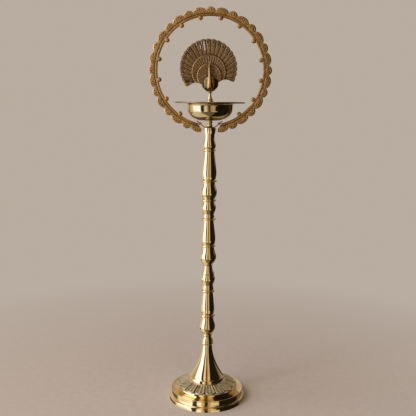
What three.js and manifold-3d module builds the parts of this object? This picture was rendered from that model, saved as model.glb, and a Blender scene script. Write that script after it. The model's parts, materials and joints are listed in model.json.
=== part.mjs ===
// Brass standing oil lamp (samai): a turned stem in three screwed sections on a stepped
// foot, an oil bowl with a broad brim, a peacock finial and an open halo ring behind it.
// Millimetres, +Z up. The origin is the middle of the foot's underside, on the table, and
// the lamp faces -Y.
import * as THREE from 'three';
import { mergeVertices } from 'three/addons/utils/BufferGeometryUtils.js';
import Module from 'manifold-3d';

const wasm = await Module();
wasm.setup();

// ---------- driving dimensions ----------

const gap = 0.3; // air between two pieces that touch
const wall = 3.2; // thickness of the cast and spun shells

const foot = { radius: 90, height: 10.5 }; // flange that the lamp stands on
const drum = { radius: 84.5, rimRadius: 86, top: 25.5 };
const lotus = {
  radius: 72.5,
  shoulder: 34.5,
  top: 46,
  petals: 16,
  relief: 1.6, // height of a petal's back over the valleys beside it
  turn: THREE.MathUtils.degToRad(7.55), // the disc is not clocked to the bird
};
const seams = { foot: 153, middle: 326, upper: 484.4, top: 648 }; // faces where sections meet
const trumpet = { footRadius: 41, bottom: lotus.top + gap, throat: 100 };

const bore = 5.35; // threaded bore of every stem section, cored right through
const stud = { radius: 4.9, reach: 10 }; // M10 stud, and how far it enters each section
const slimBore = 3.35;
const slimStud = { radius: 2.9, reach: 10 }; // M6 stud of the bowl and the finial

const strap = { eyeRadius: 13.2, thickness: 2, width: 9, reach: 29, rise: 14.8, screw: 0.56 };
const halo = {
  middle: 776, // height of the ring's centre
  inner: 118.5,
  band: 124, // outer edge of the plain inner band
  valley: 131.5,
  outer: 139,
  thickness: 5,
  lobeThickness: 4,
  lobePitch: THREE.MathUtils.degToRad(22.35), // one large and one small lobe
  largeShare: 0.58, // of the pitch
  lobesPerSide: 8, // large ones
  knobRadius: 5.2,
  knobCircle: 116.6,
  opens: 2.4, // the ring's ends stand this much further out, if they met
  opensFrom: THREE.MathUtils.degToRad(100),
  endGap: 18.5, // half the opening at the foot of the ring
};

const bowl = { radius: 52, depth: 31.8, middle: 695, brim: 80.2, brimTop: 706.5, wall: 2.6 };
const neck = { top: 662.6, radius: 6.9, spigot: 4.4, spigotTop: 675.7 };
const boss = { top: 699, radius: 8.5, base: 12 };
const stalk = { top: 729, spigot: 2.2, spigotTop: 737 };
const bird = { middle: 746, width: 18, depth: 11, height: 18.5 };
const fan = {
  hub: { x: 0.6, z: 742 }, // point that the feathers spring from
  lean: THREE.MathUtils.degToRad(6.5), // the fan sits a little turned on its screw
  back: 15.5, // Y of the fan's back
  radius: 64.5,
  feathers: 22,
  spread: THREE.MathUtils.degToRad(251),
  rise: 40, // outer circle's centre above the hub
};

const facets = { stem: 16, trumpet: 24, foot: 36, bowl: 32, ring: 48, small: 16 };

// ---------- materials ----------

const brass = (color, roughness) => new THREE.MeshStandardMaterial({ color, roughness, metalness: 1 });
const polished = () => brass('#d9b563', 0.16);
const antique = () => brass('#8a6332', 0.42);
const bronze = () => brass('#6b4d2b', 0.5);
const plainBrass = () => brass('#b99248', 0.35);
const steel = () => new THREE.MeshStandardMaterial({ color: '#8f9194', roughness: 0.4, metalness: 1 });

// ---------- helpers ----------

const group = new THREE.Group();
const { cos, sin, PI } = Math;

function place(name, geometry, material) {
  const mesh = new THREE.Mesh(geometry, material);
  mesh.name = name;
  group.add(mesh);
}

// a piece turned about the Z axis from [radius, height] points, counter-clockwise seen
// with the axis on the left; a profile off the axis is closed on itself
function turned(points, segments) {
  const offAxis = points[0][0] > 0;
  const outline = (offAxis ? [...points, points[0]] : points).map(([r, z]) => new THREE.Vector2(r, z));
  return new THREE.LatheGeometry(outline, segments).rotateX(PI / 2);
}

// a stem section from seam to seam, cored right through; the bore may narrow near the top
function bored(outside, topBore = bore) {
  const bottom = outside[0][1];
  const top = outside.at(-1)[1];
  const step = topBore < bore ? [[topBore, top - slimStud.reach - 4], [bore, top - slimStud.reach - 4]] : [];
  return turned([[bore, bottom], ...outside, [topBore, top], ...step], facets.stem);
}

// a pear-shaped swelling through three [radius, height] stations: round below its widest
// station, the second, and drawn out into a slender neck above it
function swell([r0, z0], [r1, z1], [r2, z2], steps = 4) {
  const points = [];
  for (let i = 0; i <= steps; i++) {
    const t = i / steps;
    points.push([r0 + (r1 - r0) * sin((PI / 2) * t), z0 + (z1 - z0) * t ** 1.15]);
  }
  for (let i = 1; i <= steps; i++) {
    const t = i / steps;
    points.push([r2 + (r1 - r2) * (0.5 + 0.5 * cos(PI * t)), z1 + (z2 - z1) * t]);
  }
  return points;
}

// a half-round bead on a shaft of radius root
function bead(root, radius, middle, half) {
  return [-1, -0.7, 0, 0.7, 1].map((t) => [root + (radius - root) * Math.sqrt(1 - t * t), middle + t * half]);
}

function toSolid(geometry) {
  const bare = geometry.clone();
  bare.deleteAttribute('normal');
  bare.deleteAttribute('uv');
  const merged = mergeVertices(bare, 1e-4);
  return new wasm.Manifold(
    new wasm.Mesh({
      numProp: 3,
      vertProperties: new Float32Array(merged.attributes.position.array),
      triVerts: new Uint32Array(merged.index.array),
    }),
  );
}

function toGeometry(solid) {
  const mesh = solid.getMesh();
  const geometry = new THREE.BufferGeometry();
  geometry.setAttribute('position', new THREE.BufferAttribute(mesh.vertProperties, 3));
  geometry.setIndex(new THREE.BufferAttribute(mesh.triVerts, 1));
  return geometry;
}

const join = (...geometries) => toGeometry(geometries.map(toSolid).reduce((a, b) => a.add(b)));
const cut = (geometry, ...tools) => toGeometry(tools.map(toSolid).reduce((a, b) => a.subtract(b), toSolid(geometry)));

// a flat shape drawn in X and Z, given thickness along Y with its back at y = back
const plate = (shape, thickness, back) =>
  new THREE.ExtrudeGeometry(shape, { depth: thickness, bevelEnabled: false, curveSegments: 4 })
    .rotateX(PI / 2)
    .translate(0, back, 0);

// an upright round bar from one height to another
const bar = (radius, from, to, sides = facets.small) =>
  new THREE.CylinderGeometry(radius, radius, to - from, sides).rotateX(PI / 2).translate(0, 0, (from + to) / 2);

// ---------- foot ----------

function makeDrum() {
  const hole = bore;
  const web = drum.top - 2.5;
  const dishEdge = drum.rimRadius - 3;
  return turned(
    [
      [hole, web - wall],
      [drum.radius - wall, web - wall],
      [drum.radius - wall, foot.height - wall],
      [foot.radius - wall, wall],
      [foot.radius - wall, 0],
      [foot.radius, 0],
      [foot.radius, foot.height - 3.5],
      [foot.radius - 1, foot.height - 1],
      [drum.radius + 1, foot.height],
      [drum.radius, foot.height + 1.5],
      [drum.radius, drum.top - 3.5],
      [drum.rimRadius, drum.top - 2.5],
      [drum.rimRadius, drum.top - 0.6],
      [drum.rimRadius - 1, drum.top],
      [dishEdge, drum.top - 0.6],
      [(dishEdge + lotus.radius) / 2, web + 0.4],
      [lotus.radius, web],
      [hole, web],
    ],
    facets.foot,
  );
}

// the disc is a shell; its sloping top is raised into petals that run out from the centre
function makeLotusDisc() {
  const seat = drum.top - 2.5 + gap;
  const crown = 43;
  const geometry = turned(
    [
      [bore, lotus.top - wall],
      [crown, lotus.top - wall],
      [lotus.radius - wall - 2, lotus.shoulder - wall],
      [lotus.radius - wall, seat],
      [lotus.radius, seat],
      [lotus.radius, lotus.shoulder - 1.5],
      [lotus.radius - 1.5, lotus.shoulder - lotus.relief],
      [(2 * lotus.radius + crown) / 3, (2 * lotus.shoulder + lotus.top) / 3 - lotus.relief],
      [(lotus.radius + 2 * crown) / 3, (lotus.shoulder + 2 * lotus.top) / 3 - lotus.relief],
      [crown, lotus.top],
      [bore, lotus.top],
    ],
    lotus.petals * 3,
  );
  const at = geometry.attributes.position;
  for (let i = 0; i < at.count; i++) {
    const radius = Math.hypot(at.getX(i), at.getY(i));
    const onSlope = radius > crown + 1 && radius < lotus.radius - 1 && at.getZ(i) > lotus.shoulder - 2;
    if (onSlope) {
      const angle = Math.atan2(at.getY(i), at.getX(i));
      at.setZ(i, at.getZ(i) + lotus.relief * Math.abs(cos((angle * lotus.petals) / 2)));
    }
  }
  return geometry.rotateZ(lotus.turn);
}

function makeTrumpet() {
  const lip = 54.5;
  const root = 38;
  const waist = { radius: 11.8, z: 128 };
  // the flare narrows fast at first and then more and more slowly
  const flare = [];
  const steps = 8;
  for (let i = 0; i <= steps; i++) {
    const t = i / steps;
    flare.push([waist.radius + (root - waist.radius) * (1 - t) ** 1.75, lip + 2 + (waist.z - lip - 2) * t]);
  }
  return turned(
    [
      [bore, trumpet.throat],
      [flare[4][0] - wall - 1, flare[4][1] - 8],
      [flare[2][0] - wall - 1, flare[2][1] - 5],
      [flare[1][0] - wall, flare[1][1] - 3],
      [trumpet.footRadius - wall, lip - wall],
      [trumpet.footRadius - wall, trumpet.bottom],
      [trumpet.footRadius, trumpet.bottom],
      [trumpet.footRadius, lip - 1.5],
      [trumpet.footRadius - 1.2, lip],
      ...flare,
      [waist.radius, 132],
      ...bead(12.3, 14.3, 136.5, 3),
      [14, 141.5],
      [9.9, 150],
      [9.6, seams.foot],
      [bore, seams.foot],
    ],
    facets.trumpet,
  );
}

function makeFootFixings() {
  const web = drum.top - 2.5 - wall;
  const washer = { radius: 11, thickness: 1.6 };
  const nut = { width: 16, height: 8 };
  const washerTop = web - gap;
  const nutTop = washerTop - washer.thickness - gap;
  place('tie_rod', bar(stud.radius, nutTop - nut.height - 2, trumpet.throat + 32), steel());
  const washerRing = (bottom, top) => [[bore, bottom], [washer.radius, bottom], [washer.radius, top], [bore, top]];
  place('tie_washer', turned(washerRing(washerTop - washer.thickness, washerTop), 24), steel());
  const across = nut.width / 2 / cos(PI / 6);
  const hexagon = new THREE.CylinderGeometry(across, across, nut.height, 6).rotateX(PI / 2);
  const blank = hexagon.translate(0, 0, nutTop - nut.height / 2);
  place('tie_nut', cut(blank, bar(bore, nutTop - nut.height - 1, nutTop + 1)), steel());
}

// ---------- stem ----------

function makeStemLower() {
  return bored(
    [
      [9.6, seams.foot + gap],
      ...bead(9.8, 11, 155.6, 1.6),
      ...swell([10.4, 159], [18.4, 176], [13.6, 200.5]),
      ...bead(14, 17.4, 205, 3),
      [15.2, 212],
      [15.8, 225],
      [12.7, 257],
      ...bead(13, 15.9, 265, 2.4),
      [13.4, 270.5],
      [12.4, 276.5],
      ...swell([12.7, 281], [16.5, 296], [14, 305.5], 3),
      [15, 307.5],
      [14.3, 309.5],
      [11.6, 315],
      [9.9, 321],
      [9.8, seams.middle],
    ],
  );
}

function makeStemMiddle() {
  return bored(
    [
      [10, seams.middle + gap],
      ...swell([11.2, 330], [18.8, 347.5], [13.6, 370.5]),
      ...bead(13, 16.9, 374, 2.6),
      [15.1, 379.5],
      [16.6, 390],
      [15.5, 403],
      [12.8, 425],
      [12, 432.5],
      ...bead(12, 17.4, 437.2, 2.4),
      [13.4, 442],
      [12.5, 446.5],
      ...swell([12.6, 450], [16.8, 467], [13.2, 478.5], 3),
      ...bead(14.6, 17.4, 481.6, 2.2),
      [13.5, seams.upper],
    ],
  );
}

function makeStemUpper() {
  return bored(
    [
      [13.8, seams.upper + gap],
      ...swell([14.4, 486], [18.6, 501], [13.8, 523]),
      ...bead(13.8, 19, 526.5, 2.4),
      [15.5, 531.5],
      [17.3, 546],
      [15.2, 566],
      [12.4, 588],
      [12, 593],
      ...bead(12.2, 15, 597, 2.4),
      ...swell([12.8, 600.5], [14.8, 608.5], [11.6, 626], 3),
      [11.7, 632],
      [13.4, 639],
      [14.4, 644],
      [14.4, seams.top],
    ],
    slimBore,
  );
}

// ---------- halo ----------

const armStart = new THREE.Vector2(12, seams.top + gap + strap.thickness / 2);
const armEnd = armStart.clone().add(new THREE.Vector2(strap.reach - 12, strap.rise));
const armAngle = Math.atan2(strap.rise, strap.reach - 12);
const screwAt = armStart.clone().lerp(armEnd, strap.screw);

// a block in the plane of the ring whose lower edge runs along an arm at an offset from
// its middle line; side is +1 for the arm on +X
function alongArm(side, from, to, low, high, width) {
  return new THREE.BoxGeometry(to - from, width, high - low)
    .translate((from + to) / 2, 0, (low + high) / 2)
    .rotateY(-armAngle)
    .translate(armStart.x, 0, armStart.y)
    .applyMatrix4(new THREE.Matrix4().makeRotationZ(side > 0 ? 0 : PI));
}

// a round bar square to an arm, at the screw
function acrossArm(side, radius, low, high) {
  return bar(radius, low, high)
    .rotateY(-armAngle)
    .translate(screwAt.x, 0, screwAt.y)
    .applyMatrix4(new THREE.Matrix4().makeRotationZ(side > 0 ? 0 : PI));
}

function makeStrap() {
  const eye = bar(strap.eyeRadius, seams.top + gap, seams.top + gap + strap.thickness, 24);
  const half = strap.thickness / 2;
  const length = armStart.distanceTo(armEnd);
  const arms = [1, -1].map((side) => alongArm(side, -0.6, length, -half, half, strap.width));
  const eyeHole = bar(slimBore + 0.3, seams.top - 2, seams.top + 5);
  const screwHoles = [1, -1].map((side) => acrossArm(side, 1.5, -4, 4));
  return cut(join(eye, ...arms), eyeHole, ...screwHoles);
}

// the ring's scalloped outline: large and small shells by turns, drawn clockwise from the
// left end over the top to the right end, and back along the plain inner edge
function haloOutline() {
  const at = (radius, angle) => {
    const lower = Math.max(0, (Math.abs(angle) - halo.opensFrom) / (PI - halo.opensFrom));
    const reach = radius + halo.opens * lower ** 1.5;
    return new THREE.Vector2(reach * sin(angle), halo.middle + reach * cos(angle));
  };
  const large = halo.lobePitch * halo.largeShare;
  const small = halo.lobePitch - large;
  const last = halo.lobesPerSide * halo.lobePitch - small / 2;
  const points = [];
  let angle = -last;
  for (let i = 0; i < 4 * halo.lobesPerSide - 1; i++) {
    const width = i % 2 ? small : large;
    const steps = i % 2 ? 4 : 5;
    for (let k = 0; k < steps; k++) {
      const t = k / steps;
      const bulge = sin(PI * t) ** 0.6;
      points.push(at(halo.valley + (halo.outer - halo.valley) * bulge, angle + width * t));
    }
    angle += width;
  }
  points.push(at(halo.valley, last));
  return { points, last, at };
}

function makeHaloRing() {
  const { points, last, at } = haloOutline();
  const arc = (radius, from, to, steps) =>
    Array.from({ length: steps + 1 }, (_, i) => at(radius, from + ((to - from) * i) / steps));
  const lobes = new THREE.Shape([...points, ...arc(halo.band - 2, last, -last, facets.ring)]);
  const bandEdges = [...arc(halo.band, -last, last, facets.ring), ...arc(halo.inner, last, -last, facets.ring)];
  const band = new THREE.Shape(bandEdges);
  const knobs = [];
  for (let i = 0; i < 2 * (halo.lobesPerSide - 1); i++) {
    const middle = at(halo.knobCircle, (i + 1.5 - halo.lobesPerSide) * halo.lobePitch);
    const ball = new THREE.SphereGeometry(halo.knobRadius, 8, 6);
    knobs.push(ball.scale(1, 0.8, 1).translate(middle.x, 0, middle.y));
  }
  const solid = join(
    plate(band, halo.thickness, halo.thickness / 2),
    plate(lobes, halo.lobeThickness, halo.lobeThickness / 2),
    ...knobs,
  );
  const half = strap.thickness / 2 + gap;
  const armBeds = [1, -1].map((side) => alongArm(side, -25, 40, -half, 30, 20));
  const opening = new THREE.BoxGeometry(2 * halo.endGap, 20, 60).translate(0, 0, halo.middle - halo.outer);
  const screwHoles = [1, -1].map((side) => acrossArm(side, 1.5, -9, 0));
  return cut(solid, opening, ...armBeds, ...screwHoles);
}

function haloScrew(side) {
  const headLow = strap.thickness / 2 + gap;
  return join(acrossArm(side, 1.15, -8, headLow + 1), acrossArm(side, 2.8, headLow, headLow + 1.9));
}

// ---------- bowl ----------

function makeBowlNeck() {
  const bottom = seams.top + 2 * gap + strap.thickness;
  const socketTop = bottom + slimStud.reach + 1;
  return turned(
    [
      [0, socketTop],
      [slimBore, socketTop],
      [slimBore, bottom],
      [6.4, bottom],
      ...bead(5.9, neck.radius, 653.2, 2.3),
      [5.2, 656.7],
      ...bead(5.6, neck.radius, neck.top - 2.6, 1.9),
      [6.4, neck.top],
      [neck.spigot, neck.top],
      [neck.spigot, neck.spigotTop],
      [0, neck.spigotTop],
    ],
    facets.small,
  );
}

// the bowl's body follows a full, nearly square-shouldered curve, inside and outside
function makeBowl() {
  const fullness = 2.5;
  const curve = (radius, depth, steps, upwards) => {
    const points = [];
    for (let i = 1; i <= steps; i++) {
      const t = (i / steps) * (PI / 2);
      const r = radius * sin(t) ** (2 / fullness);
      points.push([r, bowl.middle - depth * cos(t) ** (2 / fullness)]);
    }
    return upwards ? points : points.reverse();
  };
  const floor = bowl.middle - bowl.depth;
  const hole = neck.spigot + gap;
  return turned(
    [
      [hole, floor],
      ...curve(bowl.radius, bowl.depth, 7, true),
      [bowl.radius + 0.6, bowl.brimTop - 7.5],
      [bowl.radius + 3, bowl.brimTop - 4.7],
      [bowl.radius + 6.7, bowl.brimTop - 3.5],
      [bowl.brim - 1, bowl.brimTop - 3.1],
      [bowl.brim, bowl.brimTop - 1.6],
      [bowl.brim - 1, bowl.brimTop],
      [bowl.radius + 1.5, bowl.brimTop],
      [bowl.radius - bowl.wall, bowl.brimTop - 3],
      ...curve(bowl.radius - bowl.wall, bowl.depth - bowl.wall, 6, false),
      [boss.base + 1, floor + bowl.wall],
      [hole, floor + bowl.wall],
    ],
    facets.bowl,
  );
}

// a turned post inside the bowl: it clamps the bowl to its neck and carries the finial
function makeBoss() {
  const seat = bowl.middle - bowl.depth + bowl.wall + gap;
  const lowBore = neck.spigot + gap;
  return cut(
    turned(
      [
        [0, seat],
        [boss.base, seat],
        [boss.base, seat + 3],
        [boss.radius, seat + 6],
        [boss.radius - 1.5, boss.top - 6],
        [boss.radius - 0.7, boss.top - 2],
        [boss.radius - 1, boss.top],
        [0, boss.top],
      ],
      24,
    ),
    bar(lowBore, seat - 1, neck.spigotTop + gap),
    bar(slimBore, boss.top - slimStud.reach - 1, boss.top + 1),
  );
}

// ---------- finial ----------

function makeStalk() {
  const bottom = boss.top + gap;
  const socketTop = bottom + slimStud.reach + 1;
  return turned(
    [
      [0, socketTop],
      [slimBore, socketTop],
      [slimBore, bottom],
      [7.2, bottom],
      [7.8, 701],
      [8.4, 706.3],
      [7, 709],
      ...bead(5.9, 6.6, 711.6, 1.8),
      [4.6, 716],
      [3.2, 722],
      [3.3, 725.5],
      [4.4, stalk.top - 1.2],
      [4, stalk.top],
      [stalk.spigot, stalk.top],
      [stalk.spigot, stalk.spigotTop],
      [0, stalk.spigotTop],
    ],
    facets.small,
  );
}

// body, wings, neck and head are one casting; the neck rises in front with a slight S
function makeBird() {
  const body = new THREE.SphereGeometry(1, 16, 10)
    .rotateX(PI / 2)
    .scale(bird.width, bird.depth, bird.height)
    .translate(0, 0, bird.middle);
  const neckBase = 732;
  const neckTop = 784.5;
  const aside = -1.4; // the neck leans a little to one side
  const neckTube = turned(
    [[0, neckBase], [3.5, 732.3], [6.3, 737], [7, 743], [5.2, 752], [3.6, 764], [3, neckTop], [0, neckTop]],
    12,
  );
  const at = neckTube.attributes.position;
  for (let i = 0; i < at.count; i++) {
    const t = (at.getZ(i) - neckBase) / (neckTop - neckBase);
    at.setX(i, at.getX(i) + aside * t);
    at.setY(i, at.getY(i) - 4.5 - 4 * sin(PI * t) - 3.5 * t);
  }
  const head = new THREE.SphereGeometry(1, 12, 8).scale(3.7, 5, 4).translate(aside, -9, 786);
  const beak = new THREE.ConeGeometry(1.7, 6.5, 10).rotateX(PI + 0.25).translate(aside, -15.4, 784.9);
  const crest = [-1, 0, 1].map((side) =>
    new THREE.CylinderGeometry(1.1, 0.6, 8, 8).rotateX(PI / 2).translate(0, 0, 4).rotateY(side * 0.38)
      .translate(aside, -8.4, 788.5),
  );
  const socket = bar(stalk.spigot + gap, stalk.top - 20, stalk.spigotTop + gap);
  const underside = new THREE.BoxGeometry(40, 40, 20).translate(0, 0, stalk.top + gap - 10);
  return cut(join(body, neckTube, head, beak, ...crest), socket, underside, tailScrewBar(1.6, 2));
}

// a bar along the screw that holds the tail to the bird's back, from y to the fan's back
function tailScrewBar(radius, from, to = fan.back + 1) {
  return new THREE.CylinderGeometry(radius, radius, to - from, facets.small)
    .translate(fan.hub.x, (from + to) / 2, fan.hub.z + 3);
}

function fanOutline() {
  const centre = new THREE.Vector2(0, fan.rise);
  const tip = (angle, radius) => [centre.x + radius * sin(angle), centre.y + radius * cos(angle)];
  const step = fan.spread / fan.feathers;
  const shape = new THREE.Shape();
  const valley = fan.radius - 2.2;
  shape.moveTo(...tip(-fan.spread / 2, valley));
  for (let i = 0; i < fan.feathers; i++) {
    const from = -fan.spread / 2 + i * step;
    const crown = fan.radius + 2.2;
    shape.bezierCurveTo(...tip(from + step * 0.12, crown), ...tip(from + step * 0.88, crown), ...tip(from + step, valley));
  }
  // from the last feather's tip the lower edge sweeps up and in to the bird's side
  shape.quadraticCurveTo(33, 19, 15, 2);
  shape.lineTo(10, -5);
  shape.lineTo(-10, -5);
  shape.lineTo(-15, 2);
  shape.quadraticCurveTo(-33, 19, ...tip(-fan.spread / 2, valley));
  return shape;
}

function makeFan() {
  const disc = (radius, rise) => new THREE.Shape().absarc(0, rise, radius, 0, 2 * PI);
  const outline = fanOutline();
  const outerTier = plate(outline, 2.6, fan.back);
  const limits = plate(outline, 8, fan.back);
  const tier = (radius, rise, thickness) =>
    toGeometry(toSolid(plate(disc(radius, rise), thickness, fan.back)).intersect(toSolid(limits)));
  const slit = (feather, width, length) =>
    new THREE.BoxGeometry(width, 20, length)
      .translate(0, fan.back, 49)
      .rotateY((-feather * fan.spread) / fan.feathers)
      .translate(0, 0, fan.rise);
  const tiers = join(outerTier, tier(39, 31.5, 3.8), tier(28, 22.5, 5));
  const flat = cut(tiers, slit(0.43, 2.4, 20), slit(1.35, 1.4, 10));
  const leaned = flat.rotateY(-fan.lean).translate(fan.hub.x, 0, fan.hub.z);
  return leaned;
}

function makePeacock() {
  const tail = makeFan();
  const clearance = new THREE.SphereGeometry(1, 16, 10)
    .rotateX(PI / 2)
    .scale(bird.width + gap + 0.2, bird.depth + gap + 0.2, bird.height + gap + 0.2)
    .translate(0, 0, bird.middle);
  place('tail_fan', cut(tail, clearance, tailScrewBar(1.6, 2, 30)), bronze());
  place('peacock_body', makeBird(), plainBrass());
  const headLow = fan.back + gap;
  place('tail_screw', join(tailScrewBar(1.2, 3, headLow + 0.5), tailScrewBar(3, headLow, headLow + 2)), plainBrass());
}

// ---------- assembly ----------

const studBetween = (seam) => bar(stud.radius, seam - stud.reach, seam + gap + stud.reach);

place('base_drum', makeDrum(), polished());
place('lotus_disc', makeLotusDisc(), plainBrass());
place('base_trumpet', makeTrumpet(), polished());
makeFootFixings();

place('stem_lower', makeStemLower(), polished());
place('stem_middle', makeStemMiddle(), polished());
place('stem_upper', makeStemUpper(), polished());
place('stud_lower', studBetween(seams.foot), plainBrass());
place('stud_middle', studBetween(seams.middle), plainBrass());
place('stud_upper', studBetween(seams.upper), plainBrass());

place('halo_strap', makeStrap(), antique());
place('halo_ring', makeHaloRing(), antique());
place('halo_screw_right', haloScrew(1), plainBrass());
place('halo_screw_left', haloScrew(-1), plainBrass());

const neckBottom = seams.top + 2 * gap + strap.thickness;
place('bowl_stud', bar(slimStud.radius, seams.top - slimStud.reach, neckBottom + slimStud.reach), plainBrass());
place('bowl_neck', makeBowlNeck(), polished());
place('oil_bowl', makeBowl(), polished());
place('bowl_boss', makeBoss(), polished());

place('finial_stud', bar(slimStud.radius, boss.top - slimStud.reach, boss.top + gap + slimStud.reach), plainBrass());
place('finial_stalk', makeStalk(), polished());
makePeacock();

export default group;
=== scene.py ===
import json
import math

import bmesh
import bpy
import numpy as np
from mathutils import Matrix, Vector


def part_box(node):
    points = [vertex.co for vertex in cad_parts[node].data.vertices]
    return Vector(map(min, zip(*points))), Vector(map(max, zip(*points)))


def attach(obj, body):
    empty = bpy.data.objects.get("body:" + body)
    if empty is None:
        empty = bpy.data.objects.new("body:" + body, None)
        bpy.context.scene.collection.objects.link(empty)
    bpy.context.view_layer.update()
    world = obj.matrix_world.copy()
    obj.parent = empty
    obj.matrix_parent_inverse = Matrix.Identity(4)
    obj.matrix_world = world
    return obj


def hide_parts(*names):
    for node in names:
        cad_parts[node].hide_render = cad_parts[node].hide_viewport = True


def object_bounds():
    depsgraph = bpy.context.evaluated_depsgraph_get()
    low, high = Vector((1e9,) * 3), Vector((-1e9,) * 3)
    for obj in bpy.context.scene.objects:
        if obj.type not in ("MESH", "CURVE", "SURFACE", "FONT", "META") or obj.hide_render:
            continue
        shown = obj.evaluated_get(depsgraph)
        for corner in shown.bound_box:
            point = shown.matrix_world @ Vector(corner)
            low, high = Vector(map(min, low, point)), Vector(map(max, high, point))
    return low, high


# Looks of a tall brass standing oil lamp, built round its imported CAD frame. Metres, +Z up,
# the bird faces -Y. Turned pieces take their outlines from the CAD nodes that they replace;
# the cast ornament is modelled here as height fields in the space of its CAD plate.
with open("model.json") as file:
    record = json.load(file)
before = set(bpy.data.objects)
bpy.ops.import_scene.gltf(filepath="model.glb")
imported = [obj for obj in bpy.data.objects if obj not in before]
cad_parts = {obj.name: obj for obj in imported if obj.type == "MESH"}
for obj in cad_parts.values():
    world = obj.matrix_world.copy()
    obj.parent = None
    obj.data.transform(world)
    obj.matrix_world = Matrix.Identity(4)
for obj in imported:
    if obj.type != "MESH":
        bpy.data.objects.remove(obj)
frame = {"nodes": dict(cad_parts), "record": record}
CAD_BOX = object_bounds()

MM = 0.001
TAU = math.tau
TINY = 1e-6
HEIGHT = CAD_BOX[1].z

record = frame["record"]
SLOT_OF = {part["node"]: part["material_slot"] for part in record["subparts"]}
BODY_OF = {node: body for body, nodes in record["behaviour"]["bodies"].items() for node in nodes}


# ---------- small mathematics ----------

def smooth(low, high, value):
    """0 below low, 1 above high, and an S curve between them."""
    t = np.clip((value - low) / (high - low), 0, 1)
    return t * t * (3 - 2 * t)


def hump(distance, width):
    """1 at distance 0, falling off over about width."""
    return np.exp(-(distance / width) ** 2)


def round_off(share):
    """A quarter circle: 0 at an edge, 1 from a share of 1 inwards."""
    return np.sqrt(1 - (1 - np.clip(share, 0, 1)) ** 2)


def wave_noise(*coordinates, seed=0):
    """A gentle repeatable unevenness between -1 and 1, made of a few waves."""
    chance = np.random.default_rng(seed)
    total = 0
    for octave in range(4):
        pull = chance.normal(size=len(coordinates)) * 1.7 ** octave
        phase = sum(p * c for p, c in zip(pull, coordinates)) + chance.uniform(0, TAU)
        total = total + np.sin(phase) / 1.5 ** octave
    return total / 2.4


# ---------- materials ----------

def shader(tree, kind, inputs=(), **settings):
    """Adds a shader node; an input is a number, a colour or another node's output."""
    fresh = tree.nodes.new("ShaderNode" + kind)
    for key, value in settings.items():
        setattr(fresh, key, value)
    for key, value in dict(inputs).items():
        if isinstance(value, bpy.types.NodeSocket):
            tree.links.new(value, fresh.inputs[key])
        else:
            fresh.inputs[key].default_value = value
    return fresh


def remap(tree, value, low, high, to_low, to_high):
    """Maps low..high of a value to another range, and holds it there."""
    ranges = {"From Min": low, "From Max": high, "To Min": to_low, "To Max": to_high}
    return shader(tree, "MapRange", {"Value": value, **ranges}).outputs["Result"]


def blend(tree, share, first, second):
    """A colour between two others."""
    mixed = shader(tree, "Mix", {0: share, 6: first, 7: second}, data_type="RGBA")
    return mixed.outputs[2]


def noise(tree, place, scale, **settings):
    """Cloudy noise between 0 and 1."""
    return shader(tree, "TexNoise", {"Vector": place, "Scale": scale, **settings}).outputs["Fac"]


def arithmetic(tree, operation, first, second, **settings):
    """The result of a Math node."""
    return shader(tree, "Math", {0: first, 1: second}, operation=operation, **settings).outputs[0]


def metal(name, bright, dull, dark=None, rough=(0.08, 0.16), lines=0.0, grain=0.0, worn=1.0):
    """Brass or steel. bright and dull vary in soft patches; dark lies in the piece's recesses as patina,
    and on some pieces it is painted shade too; lines are turning marks round the lamp's axis, and grain is a
    cast skin."""
    material = bpy.data.materials.new(name)
    material.use_nodes = True
    tree = material.node_tree
    surface = tree.nodes["Principled BSDF"]
    place = shader(tree, "TexCoord").outputs["Object"]
    apart = shader(tree, "SeparateXYZ", {0: place}).outputs
    flat = shader(tree, "CombineXYZ", {0: apart[0], 1: apart[1]}).outputs[0]
    radius = shader(tree, "VectorMath", {0: flat}, operation="LENGTH").outputs["Value"]
    rings = shader(tree, "CombineXYZ", {0: radius, 2: apart[2]}).outputs[0]
    turning = noise(tree, rings, 1900, Detail=3)
    patches = noise(tree, place, 42, Detail=5, Roughness=0.62)
    skin = noise(tree, place, 780, Detail=4, Roughness=0.6)
    smears = noise(tree, place, 160, Detail=3, Distortion=1.5)
    colour = blend(tree, remap(tree, patches, 0.35, 0.65, 0, 1), (*dull, 1), (*bright, 1))
    roughness = remap(tree, smears, 0.35, 0.7, *rough)
    if dark:
        patina_and_shade = shader(tree, "Attribute", attribute_name="patina_and_shade").outputs["Fac"]
        speckled = arithmetic(tree, "ADD", remap(tree, skin, 0.3, 0.7, -0.22, 0.22), patina_and_shade)
        share = remap(tree, speckled, 0.05, 0.85, 0, worn)
        colour = blend(tree, share, colour, (*dark, 1))
        duller = remap(tree, share, 0, 1, 0, 0.3)
        roughness = arithmetic(tree, "ADD", roughness, duller, use_clamp=True)
    tree.links.new(colour, surface.inputs["Base Color"])
    tree.links.new(roughness, surface.inputs["Roughness"])
    surface.inputs["Metallic"].default_value = 1
    normal = None
    for height, strength, depth in ((turning, lines, 0.02), (skin, grain, 0.06)):
        if strength:
            bump = shader(tree, "Bump", {"Height": height, "Strength": strength, "Distance": depth * MM})
            if normal:
                tree.links.new(normal, bump.inputs["Normal"])
            normal = bump.outputs["Normal"]
    tree.links.new(normal, surface.inputs["Normal"])
    return material


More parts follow.
